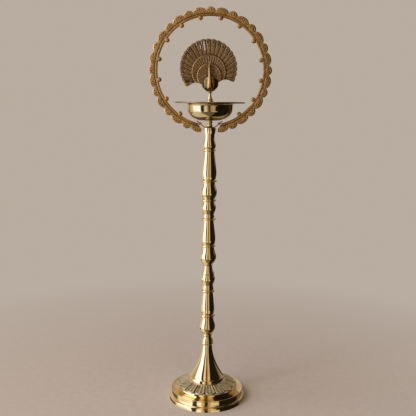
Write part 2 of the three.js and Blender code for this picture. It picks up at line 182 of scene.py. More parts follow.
LOOKS = {
    "polished_brass": dict(
        bright=(0.90, 0.73, 0.43), dull=(0.85, 0.66, 0.35), rough=(0.025, 0.07), lines=0.08),
    "bowl_brass": dict(
        bright=(0.67, 0.55, 0.35), dull=(0.56, 0.45, 0.27), rough=(0.06, 0.13), lines=0.08),
    "cast_brass": dict(
        bright=(0.88, 0.75, 0.52), dull=(0.74, 0.60, 0.38), dark=(0.045, 0.03, 0.017),
        rough=(0.20, 0.32), grain=0.35),
    "halo_brass": dict(
        bright=(0.68, 0.44, 0.19), dull=(0.50, 0.30, 0.12), dark=(0.08, 0.04, 0.018),
        rough=(0.20, 0.34), grain=0.4, worn=0.8),
    "aged_bronze": dict(
        bright=(0.50, 0.33, 0.18), dull=(0.33, 0.21, 0.11), dark=(0.035, 0.02, 0.012),
        rough=(0.24, 0.38), grain=0.4, worn=0.85),
    # painted highlight: the brighter brass of the fan's rims and tip on the lit side
    "rubbed_brass": dict(
        bright=(0.72, 0.50, 0.22), dull=(0.52, 0.34, 0.14), dark=(0.06, 0.032, 0.015),
        rough=(0.12, 0.26), grain=0.2),
    "turned_brass": dict(
        bright=(0.72, 0.54, 0.26), dull=(0.58, 0.42, 0.2), rough=(0.24, 0.38), lines=0.5),
    "steel": dict(
        bright=(0.58, 0.58, 0.57), dull=(0.46, 0.46, 0.46), rough=(0.25, 0.42), lines=0.3, grain=0.1),
}
MATERIALS = {name: metal(name, **look) for name, look in LOOKS.items()}


# ---------- outlines of turned nodes ----------

def half_section(node, turn=0.0):
    """The (radius, height) corners of a turned CAD node, in order, and whether they close on
    themselves. They are read on the half plane that looks along -Y, turned about Z."""
    mesh = frame["nodes"][node].data
    back = Matrix.Rotation(-turn, 3, "Z")
    corners = {}
    for vertex in mesh.vertices:
        at = back @ vertex.co
        if abs(at.x) < TINY and at.y < TINY:
            corners[vertex.index] = (abs(round(at.y, 6)), round(at.z, 6))
    near = {corner: set() for corner in corners.values()}
    for edge in mesh.edges:
        a, b = (corners.get(i) for i in edge.vertices)
        if a and b and a != b:
            near[a].add(b)
            near[b].add(a)
    ends = sorted(c for c, others in near.items() if len(others) == 1)
    path = [ends[0] if ends else min(near)]
    while True:
        ahead = sorted(c for c in near[path[-1]] if c not in path)
        if not ahead:
            break
        path.append(ahead[0])
    points = np.array(path)
    after = np.roll(points, -1, axis=0)
    area = np.sum(points[:, 0] * after[:, 1] - after[:, 0] * points[:, 1])
    return (points if area > 0 else points[::-1]), not ends


def curve_between(a, b, leaving, arriving):
    """Points from a, up to but without b, on a curve with those directions at its ends."""
    reach = np.linalg.norm(b - a) / 3
    bend = math.acos(np.clip(leaving @ arriving, -1, 1))
    count = max(1, math.ceil(bend / math.radians(6)))
    steps = np.linspace(0, 1, count, endpoint=False)[:, None]
    c, d = a + leaving * reach, b - arriving * reach
    rest = 1 - steps
    return rest ** 3 * a + 3 * steps * rest ** 2 * c + 3 * steps ** 2 * rest * d + steps ** 3 * b


def rounded(points, closed, fillet=0.3 * MM, corner=math.radians(52)):
    """A dense outline through the corners: bends under `corner` become curves, and sharper ones
    get a small fillet. A closed outline is opened in the middle of its longest side."""
    if closed:
        after = np.roll(points, -1, axis=0)
        longest = int(np.argmax(np.linalg.norm(after - points, axis=1)))
        middle = (points[longest] + after[longest]) / 2
        points = np.vstack([middle, np.roll(points, -longest - 1, axis=0), middle])
    sides = np.diff(points, axis=0)
    lengths = np.linalg.norm(sides, axis=1)
    along = sides / lengths[:, None]
    turns = np.arccos(np.clip(np.sum(along[1:] * along[:-1], axis=1), -1, 1))
    sharp = np.concatenate([[True], turns > corner, [True]])
    tangent = [None] * len(points)
    for i in range(1, len(points) - 1):
        if not sharp[i]:
            pull = along[i - 1] * lengths[i - 1] ** 2 + along[i] * lengths[i] ** 2
            tangent[i] = pull / np.linalg.norm(pull)
    dense, is_sharp = [], []
    for i, side in enumerate(along):
        leaving, arriving = tangent[i], tangent[i + 1]
        if leaving is None and arriving is None:
            leaving = arriving = side
        elif leaving is None:
            leaving = 2 * (side @ arriving) * side - arriving
        elif arriving is None:
            arriving = 2 * (side @ leaving) * side - leaving
        piece = curve_between(points[i], points[i + 1], leaving, arriving)
        dense.extend(piece)
        is_sharp.extend([bool(sharp[i])] + [False] * (len(piece) - 1))
    dense = np.array(dense + [points[-1]])
    is_sharp.append(True)
    at = np.concatenate([[0], np.cumsum(np.linalg.norm(np.diff(dense, axis=0), axis=1))])

    def where(s):
        return np.array([np.interp(s, at, dense[:, 0]), np.interp(s, at, dense[:, 1])])

    marks = [at[i] for i in range(len(dense)) if is_sharp[i]]
    inner = marks[1:-1]
    keep = {at[0]: dense[0], at[-1]: dense[-1]}
    cuts = []
    for k, mark in enumerate(inner, start=1):
        cut = min(fillet, 0.35 * (mark - marks[k - 1]), 0.35 * (marks[k + 1] - mark))
        cuts.append((mark, cut))
        before, after, tip = where(mark - cut), where(mark + cut), where(mark)
        for t in (0, 0.25, 0.5, 0.75, 1):
            keep[mark + cut * (2 * t - 1)] = (1 - t) ** 2 * before + 2 * t * (1 - t) * tip + t * t * after
        for s in (mark - 1.8 * cut, mark + 1.8 * cut):
            keep[s] = where(s)
    for s, point in zip(at, dense):
        if all(abs(s - mark) > 1.8 * cut for mark, cut in cuts):
            keep[s] = point
    outline = np.array([keep[s] for s in sorted(keep)])
    apart = np.linalg.norm(np.diff(outline, axis=0), axis=1) > 1e-5
    outline = outline[np.concatenate([[True], apart])]
    return outline[:-1] if closed else outline


def finer(outline, wanted, spacing):
    """Adds points on the stretches of a closed outline where wanted(radius, height) holds."""
    points = []
    for a, b in zip(outline, np.roll(outline, -1, axis=0)):
        points.append(a)
        if wanted(*a) and wanted(*b):
            extra = int(np.linalg.norm(b - a) // spacing)
            points.extend(a + (b - a) * k / (extra + 1) for k in range(1, extra + 1))
    return np.array(points)


# ---------- meshes ----------

def weld(mesh, distance=TINY):
    """Joins vertices that lie in one place."""
    work = bmesh.new()
    work.from_mesh(mesh)
    bmesh.ops.remove_doubles(work, verts=work.verts, dist=distance)
    bmesh.ops.dissolve_degenerate(work, edges=work.edges, dist=distance / 10)
    work.to_mesh(mesh)
    work.free()


def grid(points, wrap_rows=False, wrap_columns=False):
    """Vertices and quads of a grid of points, wrapped round in either direction."""
    rows, columns = points.shape[:2]
    index = np.arange(rows * columns).reshape(rows, columns)
    if wrap_rows:
        index = np.vstack([index, index[:1]])
    if wrap_columns:
        index = np.hstack([index, index[:, :1]])
    quads = np.stack([index[:-1, :-1], index[:-1, 1:], index[1:, 1:], index[1:, :-1]], axis=-1).reshape(-1, 4)
    return points.reshape(-1, 3), quads


def linked(name, data):
    """A new object in the scene."""
    fresh = bpy.data.objects.new(name, data)
    bpy.context.scene.collection.objects.link(fresh)
    return fresh


def make_object(name, vertices, faces, patina_and_shade=None):
    mesh = bpy.data.meshes.new(name)
    mesh.from_pydata(np.asarray(vertices).tolist(), [], [list(map(int, f)) for f in faces])
    if patina_and_shade is not None:
        layer = mesh.attributes.new("patina_and_shade", "FLOAT", "POINT")
        layer.data.foreach_set("value", np.asarray(patina_and_shade, dtype=np.float32).ravel())
    weld(mesh)
    mesh.shade_smooth()
    return linked(name, mesh)


def turned_points(outline, steps, relief=None, turn=0.0):
    """A grid of points: the outline swept round Z. relief gives (new radius, new height)."""
    angle = turn - math.pi / 2 + TAU * np.arange(steps) / steps
    radius = np.repeat(outline[:, :1], steps, axis=1)
    height = np.repeat(outline[:, 1:], steps, axis=1)
    angle = np.repeat(angle[None, :], len(outline), axis=0)
    if relief:
        radius, height = relief(radius, height, angle)
    return np.stack([radius * np.cos(angle), radius * np.sin(angle), height], axis=-1)


def turned(name, node, steps=96, fillet=0.3 * MM, relief=None):
    """A finely turned piece with the CAD node's outline."""
    points, closed = half_section(node)
    outline = rounded(points, closed, fillet)
    return make_object(name, *grid(turned_points(outline, steps, relief), closed, True))


def applied(piece, kind, **settings):
    """Adds a modifier and applies it."""
    modifier = piece.modifiers.new(kind.lower(), kind)
    for key, value in settings.items():
        setattr(modifier, key, value)
    bpy.context.view_layer.update()
    seen = piece.evaluated_get(bpy.context.evaluated_depsgraph_get())
    fresh = bpy.data.meshes.new_from_object(seen)
    piece.modifiers.clear()
    old = piece.data
    piece.data = fresh
    bpy.data.meshes.remove(old)
    return piece


def carve(piece, *tools):
    """Cuts the tools out of a piece."""
    for tool in tools:
        applied(piece, "BOOLEAN", operation="DIFFERENCE", solver="EXACT", object=tool)
        bpy.data.objects.remove(tool)
    piece.data.shade_smooth()
    return piece


def joined(name, parts):
    """One mesh object out of several."""
    work = bmesh.new()
    for part in parts:
        part.data.transform(part.matrix_world)
        work.from_mesh(part.data)
        bpy.data.objects.remove(part)
    mesh = bpy.data.meshes.new(name)
    work.to_mesh(mesh)
    work.free()
    mesh.shade_smooth()
    return linked(name, mesh)


def block(low, high, place=Matrix.Identity(4)):
    """A cutting tool: a box between two corners, then placed."""
    x, y, z = zip(low, high)
    corners = [place @ Vector((x[i], y[j], z[k])) for i in (0, 1) for j in (0, 1) for k in (0, 1)]
    faces = [(0, 1, 3, 2), (4, 6, 7, 5), (0, 4, 5, 1), (2, 3, 7, 6), (0, 2, 6, 4), (1, 5, 7, 3)]
    return make_object("tool", [tuple(c) for c in corners], faces)


def drill(radius, low, high, place=Matrix.Identity(4), sides=48):
    """A cutting tool: a round bar along Z from low to high, then placed."""
    outline = np.array([[0, low], [radius, low], [radius, high], [0, high]])
    tool = make_object("tool", *grid(turned_points(outline, sides), False, True))
    tool.data.transform(place)
    return tool


def stands_for(piece, node):
    """The piece takes the place of a CAD node: it joins the node's body, the node is hidden, and the piece
    gets the material of the node's slot if it has none.
    """
    slot = SLOT_OF[node]
    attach(piece, BODY_OF[node])
    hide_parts(node)
    if not piece.data.materials:
        piece.data.materials.append(MATERIALS[slot])
    return piece


def finish(piece, first, second, wanted):
    """Gives a piece its first finish, and the second to faces whose middles are wanted."""
    piece.data.materials.clear()
    for name in (first, second):
        piece.data.materials.append(MATERIALS[name])
    for face in piece.data.polygons:
        face.material_index = 1 if wanted(*face.center) else 0
    return piece


# ---------- threads and fixings ----------

def flank(height, angle, pitch):
    """0 on a thread's crests and 1 in its roots, on a right-hand helix."""
    phase = (height / pitch - angle / TAU) % 1
    return np.clip(np.abs(phase - 0.5) * 2.8 - 0.2, 0, 1)


def thread_outline(radius, low, high, pitch):
    heights = np.linspace(low, high, math.ceil((high - low) / pitch * 7))
    return [(radius, height) for height in heights]


def make_threaded_bar(node, pitch, steps=40):
    """A threaded stud or rod in the space of its plain CAD bar, chamfered at both ends."""
    low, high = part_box(node)
    radius = (high.x - low.x) / 2
    depth = 0.54 * pitch
    outline = [(0, low.z)] + thread_outline(radius, low.z, high.z, pitch) + [(0, high.z)]

    def relief(r, z, angle):
        from_end = np.minimum(z - low.z, high.z - z)
        thread = radius - depth * flank(z, angle, pitch)
        return np.where(r > 0, np.minimum(thread, radius - depth + from_end), 0), z

    at = turned_points(np.array(outline), steps, relief)
    return make_object(node + "_threaded", *grid(at, wrap_columns=True))


def make_nut(node, pitch):
    """A hexagon nut, chamfered on its corners and threaded inside."""
    low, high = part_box(node)
    flats = (high.x - low.x) / 2
    points, closed = half_section(node)
    bore = points[:, 0].min()
    outline = rounded(points, closed, 0.4 * MM)
    outline = finer(outline, lambda r, z: True, 0.25 * MM)

    def relief(r, z, angle):
        side = (angle + math.pi / 2) % (TAU / 6) - TAU / 12
        from_end = np.minimum(z - low.z, high.z - z)
        outside = np.minimum(np.minimum(r, flats / np.cos(side)), 0.97 * flats + 1.9 * from_end)
        inside = bore + 0.4 * MM * flank(z, angle, pitch)
        return np.where(r < bore + 0.1 * MM, inside, np.maximum(outside, bore)), z

    return make_object("tie_nut_hexagon", *grid(turned_points(outline, 96, relief), True, True))


def make_screw(name, shank, tip, head, head_low, head_high, place):
    """A slotted screw with a low domed head, along Z, then placed."""
    pitch = 0.5 * MM
    outline = [(0, tip)] + thread_outline(shank, tip, head_low, pitch)
    dome = [(head * math.cos(a), head_high - 0.7 * MM * (1 - math.sin(a))) for a in np.linspace(0, 1.5, 8)]
    outline += [(head - 0.1 * MM, head_low), (head, head_low + 0.1 * MM)] + dome + [(0, head_high)]

    def relief(r, z, angle):
        thread = shank - 0.25 * MM * flank(z, angle, pitch)
        on_shank = (r > 0) & (z < head_low)
        return np.where(on_shank, np.minimum(thread, shank - 0.3 * MM + (z - tip)), r), z

    screw = make_object(name, *grid(turned_points(np.array(outline), 40, relief), False, True))
    slot = block((-head * 1.2, -0.35 * MM, head_high - 0.9 * MM), (head * 1.2, 0.35 * MM, head_high + MM))
    carve(screw, slot)
    screw.data.transform(place)
    return screw


# ---------- lotus disc ----------

LOTUS_TURN = math.radians(7.55)
PETALS = 16


def petal_relief(radius, angle, crown, rim):
    """How far the disc's top lies under the petals' ridges, and how dark and sheltered it is."""
    part = ((angle - LOTUS_TURN + math.pi / 2) / TAU * PETALS + 0.5) % 1
    across = 2 * part - 1
    half_width = radius * math.sin(math.pi / PETALS)
    from_side = (1 - np.abs(across)) * half_width
    end = rim - (1.4 + 6.5 * np.abs(across) ** 2.6) * MM
    from_edge = np.minimum(from_side, end - radius)
    beyond = from_edge < 0
    line = 1 - smooth(0.3 * MM, 1.7 * MM, np.abs([from_side, end - radius]))
    groove = np.maximum(np.where(beyond, 0, line[0]), 0.5 * line[1])
    ridge = hump(from_edge - 2.7 * MM, 1.3 * MM)
    hollow = smooth(3.0 * MM, 5.0 * MM, from_edge)
    ribs = hollow * (0.5 + 0.5 * np.cos(3 * math.pi * across))
    down = 0.6 + 1.0 * hollow - 0.8 * ribs + 1.2 * groove - 0.6 * ridge
    down = np.where(beyond, 0.75 + 0.8 * groove, down)
    dot_distance = np.hypot(from_side, radius - (rim - 6.5 * MM))
    dot = hump(dot_distance, 1.7 * MM)
    dark = np.clip(groove + 0.5 * hollow * (1 - ribs) ** 2 + 1.3 * dot, 0, 1)
    fade = smooth(crown, crown + 2 * MM, radius) * (1 - smooth(rim - 1.5 * MM, rim - 0.4 * MM, radius))
    return (down + 1.3 * dot) * MM * fade, dark * fade


def make_lotus_disc():
    """A shell with sixteen hollow petals on its sloping top and a polished upright edge."""
    points, closed = half_section("lotus_disc", LOTUS_TURN)
    top, rim = points[:, 1].max(), points[:, 0].max()
    shoulder = min(z for r, z in points if r > rim - 2 * MM and z > top - 14 * MM)
    crown = max(r for r, z in points if z > top - TINY)

    def on_slope(r, z):
        return r > crown - 3 * MM and z > shoulder - TINY

    outline = finer(rounded(points, closed, 0.6 * MM), on_slope, 0.5 * MM)
    at = turned_points(outline, PETALS * 24, turn=LOTUS_TURN)
    radius = np.hypot(at[..., 0], at[..., 1])
    angle = np.arctan2(at[..., 1], at[..., 0])
    slope = (radius > crown) & (at[..., 2] > shoulder - TINY)
    down, dark = petal_relief(radius, angle, crown, rim)
    at[..., 2] -= np.where(slope, down, 0)
    piece = make_object("lotus_petal_disc", *grid(at, True, True), patina_and_shade=np.where(slope, dark, 0))

    def plain(x, y, z):
        return math.hypot(x, y) > rim - 1.2 * MM or z < shoulder - 4 * MM

    return finish(piece, "cast_brass", "polished_brass", plain)


# ---------- halo ----------

RING = {
    "inner": 118.5 * MM,
    "band": 124 * MM,  # outer edge of the plain inner band
    "valley": 131.5 * MM,
    "outer": 139 * MM,
    "pitch": math.radians(22.35),  # one large and one small lobe
    "large": 0.58,  # the large lobe's share of the pitch
    "lobes": 8,  # large ones on each side
    "opening": 18.5 * MM,  # half the gap at the ring's foot
    "opens": 2.4 * MM,  # the ends stand this much further out, if they met
    "opens_from": math.radians(100),
    "knob_circle": 116.6 * MM,
    "beads": 256,  # in the fine row beside the band
}
ARM = {"from": 12 * MM, "reach": 29 * MM, "rise": 14.8 * MM, "thickness": 2 * MM, "width": 9 * MM}
ARM_SLOPE = math.atan2(ARM["rise"], ARM["reach"] - ARM["from"])
AIR = 0.3 * MM


def along_arm(side):
    """Placing for something drawn on an arm's middle line: X runs up the arm, Z is its normal."""
    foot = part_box("halo_strap")[0].z + ARM["thickness"] / 2
    turn = Matrix.Rotation(0 if side > 0 else math.pi, 4, "Z")
    return turn @ Matrix.Translation((ARM["from"], 0, foot)) @ Matrix.Rotation(-ARM_SLOPE, 4, "Y")


def screw_place(side):
    """Placing for the screw through an arm."""
    length = math.hypot(ARM["reach"] - ARM["from"], ARM["rise"])
    return along_arm(side) @ Matrix.Translation((0.56 * length, 0, 0))


def ring_columns():
    """Angles from the ring's top, and for each the lobe that it is in: its middle, how far
    across it the angle lies from 0 to 1, and whether it is a large one."""
    large = RING["pitch"] * RING["large"]
    small = RING["pitch"] - large
    start = -(RING["lobes"] * RING["pitch"] - small / 2)
    columns = []
    for i in range(4 * RING["lobes"] - 1):
        width, count = (small, 28) if i % 2 else (large, 38)
        for k in range(count):
            columns.append((start + width * k / count, start + width / 2, k / count, i % 2 == 0))
        start += width
    columns.append((start, start - width / 2, 1.0, True))
    return [np.array(values) for values in zip(*columns)]


def opened(angle):
    """How much further out the ring stands towards its two ends."""
    lower = np.clip((np.abs(angle) - RING["opens_from"]) / (math.pi - RING["opens_from"]), 0, None)
    return RING["opens"] * lower ** 1.5


def lobe_relief(radius, angle, middle, large):
    """Height of a lobe's front over the ring's middle plane, and its dark recesses."""
    root = RING["band"] + 0.8 * MM
    u = radius * np.sin(angle - middle)
    v = radius * np.cos(angle - middle) - root
    reach = np.where(large, 13.6, 12.4) * MM
    out = np.hypot(u * np.where(large, 0.97, 1.18), v) / reach
    turn = np.arctan2(u, np.maximum(v, TINY))
    ribs = np.where(large, 11, 7)
    rib = 0.5 + 0.5 * np.cos(turn * ribs)
    fluted = smooth(0.18, 0.4, out) * (1 - smooth(0.72, 0.8, out))
    boss = 1 - smooth(0.1, 0.22, out)
    beads = hump(out - 0.9, 0.09) * (0.6 + 0.4 * np.cos(turn * np.where(large, 15, 11)))
    gutter = hump(out - 0.76, 0.05)
    height = 2.0 + 0.7 * np.cos(np.clip(out, 0, 1) * 1.5) + 0.6 * rib * fluted + 0.5 * boss + 0.75 * beads
    height -= 0.35 * gutter
    dark = np.clip(0.5 * fluted * (1 - rib) ** 2 + 0.4 * gutter, 0, 1)
    return height * MM, dark


def halo_relief(radius, angle, middle, large, from_edge):
    """Heights of the ring's front and back over its middle plane, and its dark recesses."""
    lobe, dark = lobe_relief(radius, angle, middle, large)
    lobe *= 0.1 + 0.9 * round_off(from_edge / (2.8 * MM))
    from_band = radius - RING["band"]
    beads = np.cos(angle * RING["beads"])
    line = hump(from_band - 1.6 * MM, 0.7 * MM)
    beaded = (1.1 + line * (0.9 + 0.45 * beads)) * MM
    lobe = lobe * smooth(0.2 * MM, 3 * MM, from_band) + beaded * (1 - smooth(0.6 * MM, 3.2 * MM, from_band))
    gutter = 0.9 * hump(from_band - 0.5 * MM, 0.5 * MM)
    dark = np.maximum(dark * smooth(0.5 * MM, 2.5 * MM, from_band), gutter)
    dark = np.maximum(dark, 0.6 * line * smooth(0.2, -0.8, beads))
    swell = round_off((radius - RING["inner"]) / (2.3 * MM))
    band = (0.6 + 1.9 * swell - 0.8 * hump(from_band, 0.5 * MM)) * MM
    on_band = radius <= RING["band"]
    front = np.where(on_band, band, np.maximum(lobe, 0.5 * MM))
    dark = np.where(on_band, 0.15 * hump(from_band, 1.2 * MM), dark)
    back = np.where(on_band, band * 0.9, (1.5 + 0.35 * np.cos((from_edge / MM) * 0.3)) * MM)
    back *= 0.55 + 0.45 * smooth(-0.2 * MM, 1.2 * MM, from_edge)
    rough = wave_noise(radius / MM * 0.15, angle * 9, seed=4) * 0.08 * MM * ~on_band
    return front + rough, back + rough, dark


def halo_plate(centre):
    """The ring as a closed skin, before its ends are cut."""
    angle, middle, across, large = ring_columns()
    bulge = np.sin(math.pi * across) ** 0.6
    edge = RING["valley"] + (RING["outer"] - RING["valley"]) * bulge
    from_inner = np.array([0, 0.1, 0.3, 0.6, 1.0, 1.6, 2.3, 3.2, 4.2, 5.0, 5.4, 5.6]) * MM
    inner_rows = (RING["inner"] + from_inner)[:, None]
    share = 1 - np.linspace(1, 0, 27)[1:, None] ** 1.4
    start = RING["band"] + 0.3 * MM
    radius = np.vstack([np.repeat(inner_rows, len(angle), axis=1), start + (edge - start) * share])
    angle = np.repeat(angle[None, :], len(radius), axis=0)
    front, back, dark = halo_relief(radius, angle, middle, large, edge - radius)
    reach = radius + opened(angle)
    x, z = reach * np.sin(angle), centre + reach * np.cos(angle)
    face = np.stack([x, -front, z], axis=-1)
    rear = np.stack([x, back, z], axis=-1)
    loop = np.concatenate([face, rear[::-1]], axis=0)
    # painted shade: the ring darker towards its right side, away from the light
    dark = np.clip(dark + 0.22 * smooth(0.3, 1, x / RING["outer"]), 0, 1)
    shade = np.concatenate([dark, np.full_like(dark, 0.35)], axis=0)
    vertices, quads = grid(loop, wrap_rows=True)
    ends = [list(range(0, loop.shape[0] * loop.shape[1], loop.shape[1]))]
    ends.append([i + loop.shape[1] - 1 for i in reversed(ends[0])])
    return make_object("halo_plate", vertices, quads.tolist() + ends, shade)


def make_halo_ring():
    """The ring with its ends cut apart, the beds and holes for the arms, and its knobs."""
    low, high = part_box("halo_ring")
    centre = high.z - RING["outer"]
    bed_low = (-25 * MM, -10 * MM, -ARM["thickness"] / 2 - AIR)
    beds = [block(bed_low, (40 * MM, 10 * MM, 30 * MM), along_arm(side)) for side in (1, -1)]
    opening = RING["opening"]
    gap = block((-opening, -10 * MM, low.z - MM), (opening, 10 * MM, low.z + 60 * MM))
    holes = [drill(1.5 * MM, -9 * MM, 0, screw_place(side)) for side in (1, -1)]
    plate = carve(halo_plate(centre), *beds, gap, *holes)
    lobes = RING["lobes"]
    knobs = [halo_knob((i + 1.5 - lobes) * RING["pitch"], centre) for i in range(2 * lobes - 2)]
    return joined("halo_scalloped_ring", [plate] + knobs)


def halo_knob(angle, centre):
    """A small ball with flattened faces on the ring's inner edge."""
    half = np.array([(5.2, 1), (4.2, 3), (2.6, 4), (0, 4.1)]) * MM
    corners = np.vstack([half[::-1] * (1, -1), half])
    outline = rounded(corners, False)
    vertices, faces = grid(turned_points(outline, 28), False, True)
    knob = make_object("knob", vertices, faces, np.full(len(vertices), 0.12))
    ring = RING["knob_circle"] + opened(angle)
    place = Matrix.Translation((ring * math.sin(angle), 0, centre + ring * math.cos(angle)))
    knob.data.transform(place @ Matrix.Rotation(math.pi / 2, 4, "X"))
    return knob


def make_strap():
    """A strip that widens to an eye between stem and bowl, and bends up into two arms."""
    low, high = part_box("halo_strap")
    eye = (high.y - low.y) / 2
    foot = low.z + ARM["thickness"] / 2
    half = np.array([(0, foot), (ARM["from"], foot), (ARM["reach"], foot + ARM["rise"])])
    right = rounded(half, False, fillet=3.5 * MM, corner=math.radians(20))
    line = np.vstack([-right[::-1] * (1, -1), right[1:]])
    at = np.concatenate([[0], np.cumsum(np.linalg.norm(np.diff(line, axis=0), axis=1))])
    stations = np.linspace(0, at[-1], 121)
    x, z = np.interp(stations, at, line[:, 0]), np.interp(stations, at, line[:, 1])
    lean = np.arctan2(np.gradient(z), np.gradient(x))
    away = np.abs(stations - at[-1] / 2)
    rounding = 1.6 * MM
    short_of_it = np.clip(rounding - np.minimum(stations, at[-1] - stations), 0, None)
    arm = ARM["width"] / 2 - rounding + np.sqrt(np.clip(rounding ** 2 - short_of_it ** 2, 0, None))
    round_eye = np.sqrt(np.clip(eye ** 2 - away ** 2, 0, None))
    width = (arm ** 6 + round_eye ** 6) ** (1 / 6)
    width = np.minimum(width, eye)
    around = TAU * (np.arange(40) + 0.5) / 40
    side = np.sign(np.cos(around)) * np.abs(np.cos(around)) ** 0.55
    up = np.sign(np.sin(around)) * np.abs(np.sin(around)) ** 0.3 * ARM["thickness"] / 2
    points = np.stack([
        x[:, None] - up * np.sin(lean)[:, None],
        side * width[:, None],
        z[:, None] + up * np.cos(lean)[:, None],
    ], axis=-1)
    vertices, quads = grid(points, wrap_columns=True)
    ends = [list(range(39, -1, -1)), list(range(len(vertices) - 40, len(vertices)))]
    strip = make_object("halo_strap_strip", vertices, quads.tolist() + ends, np.full(len(vertices), 0.55))
    holes = [drill(3.65 * MM, foot - 5 * MM, foot + 5 * MM)]
    holes += [drill(1.5 * MM, -4 * MM, 4 * MM, screw_place(s)) for s in (1, -1)]
    return carve(strip, *holes)


# ---------- peacock ----------

def tube(stations):
    """A closed skin through elliptical stations (x, y, z, half width, half depth), upwards."""
    rings = []
    turns = TAU * np.arange(36) / 36
    for x, y, z, wide, deep in stations:
        rings.append([(x + wide * math.cos(t), y + deep * math.sin(t), z) for t in turns])
    first, last = stations[0], stations[-1]
    rings.insert(0, [first[:3]] * len(turns))
    rings.append([last[:3]] * len(turns))
    return make_object("part", *grid(np.array(rings) * MM, wrap_columns=True))


def stations_through(knots, count):
    """Stations spread evenly on smooth curves through a few given ones."""
    knots = np.array(knots, float)
    t = np.arange(len(knots))
    fine = np.linspace(0, len(knots) - 1, count)
    columns = []
    for column in knots.T:
        slope = np.gradient(column)
        i = np.minimum(fine.astype(int), len(knots) - 2)
        f = fine - t[i]
        a, b, c, d = column[i], column[i + 1], slope[i], slope[i + 1]
        value = (2 * f ** 3 - 3 * f ** 2 + 1) * a + (f ** 3 - 2 * f ** 2 + f) * c
        columns.append(value + (3 * f ** 2 - 2 * f ** 3) * b + (f ** 3 - f ** 2) * d)
    return np.array(columns).T


def egg(middle, radii, count=28, narrow=0.0):
    """A rounded body, narrower towards its foot."""
    stations = []
    for t in np.linspace(-math.pi / 2, math.pi / 2, count)[1:-1]:
        pull = math.cos(t) * (1 - narrow * max(0, -math.sin(t)) ** 2)
        level = middle[2] + radii[2] * math.sin(t)
        stations.append((middle[0], middle[1], level, radii[0] * pull, radii[1] * pull))
    return tube(stations)


NECK_SIDE = -1.4  # mm that the bird's head stands to the left of its body's middle


def body_egg(room=0.0):
    """The bird's body, with some room round it if wanted."""
    low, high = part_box("peacock_body")
    width = (high.x - low.x) / 2 / MM
    return egg((0, 0, low.z / MM + 17), (width + room, 10.8 + room, 18.2 + room), narrow=0.12)


def screw_hole(near, far):
    """A cutting tool for the tail screw's hole, between two distances behind the lamp's axis."""
    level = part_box("tail_screw")[0].z + 3 * MM
    place = Matrix.Translation((FAN["x"], 0, level)) @ Matrix.Rotation(math.pi / 2, 4, "X")
    return drill(1.6 * MM, -far, -near, place)


def make_bird():
    """Body, neck, head, beak and crest in one skin, with a flat foot and a socket."""
    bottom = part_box("peacock_body")[0].z
    foot = bottom / MM
    body = body_egg()
    neck = tube(stations_through([
        (0, -4.5, foot + 1.5, 3.6, 2.6),
        (-0.1, -6.6, foot + 6, 6.0, 5.2),
        (-0.3, -7.6, foot + 13, 6.7, 6.4),
        (-0.5, -8.2, foot + 23, 5.0, 5.5),
        (-0.8, -8.3, foot + 32, 3.8, 4.3),
        (-1.1, -8.0, foot + 42, 3.3, 3.5),
        (-1.3, -8.4, foot + 50.5, 3.1, 3.2),
        (NECK_SIDE, -9.0, foot + 55.5, 3.3, 3.6),
    ], 60))
    head = egg((NECK_SIDE, -9.3, foot + 56.7), (3.7, 4.9, 3.9))
    beak = make_beak(foot + 56.5)
    crest = [crest_pin(side, foot + 58.9) for side in (-1, 0, 1)]
    solid = joined("peacock_with_neck", [body, neck, head, beak] + crest)
    applied(solid, "REMESH", mode="VOXEL", voxel_size=0.42 * MM)
    applied(solid, "SMOOTH", factor=0.5, iterations=4)
    dress_bird(solid, bottom)
    stalk_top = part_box("finial_stalk")[1].z
    under = block((-20 * MM, -20 * MM, bottom - 20 * MM), (20 * MM, 20 * MM, bottom + 0.02 * MM))
    socket = drill(2.5 * MM, bottom - 10 * MM, stalk_top + AIR)
    return carve(solid, under, socket, screw_hole(2 * MM, 16.5 * MM))


def make_beak(level):
    """A short pointed beak that bends down a little."""
    turns = TAU * np.arange(16) / 16
    rings = []
    for t in np.linspace(0, 1, 8):
        y, z, r = -12 - 6.4 * t, level - 1.6 * t * t, 1.9 * (1 - t) ** 0.8 + 0.15
        rings.append([(NECK_SIDE + r * math.cos(a), y, z + r * math.sin(a)) for a in turns])
    rings.insert(0, [(NECK_SIDE, -12, level)] * 16)
    rings.append([(NECK_SIDE, -18.5, level - 1.6)] * 16)
    return make_object("beak", *grid(np.array(rings) * MM, wrap_columns=True))


def crest_pin(side, level):
    """One pin of the crest, ending in a small ball."""
    radii = ((0, 0.7), (3, 0.55), (5, 0.7), (6.3, 1.15), (7.4, 0.4))
    pin = tube(stations_through([(0, 0, z, r, r) for z, r in radii], 20))
    place = Matrix.Translation(Vector((NECK_SIDE, -8.6, level)) * MM) @ Matrix.Rotation(side * 0.38, 4, "Y")
    pin.data.transform(place)
    return pin


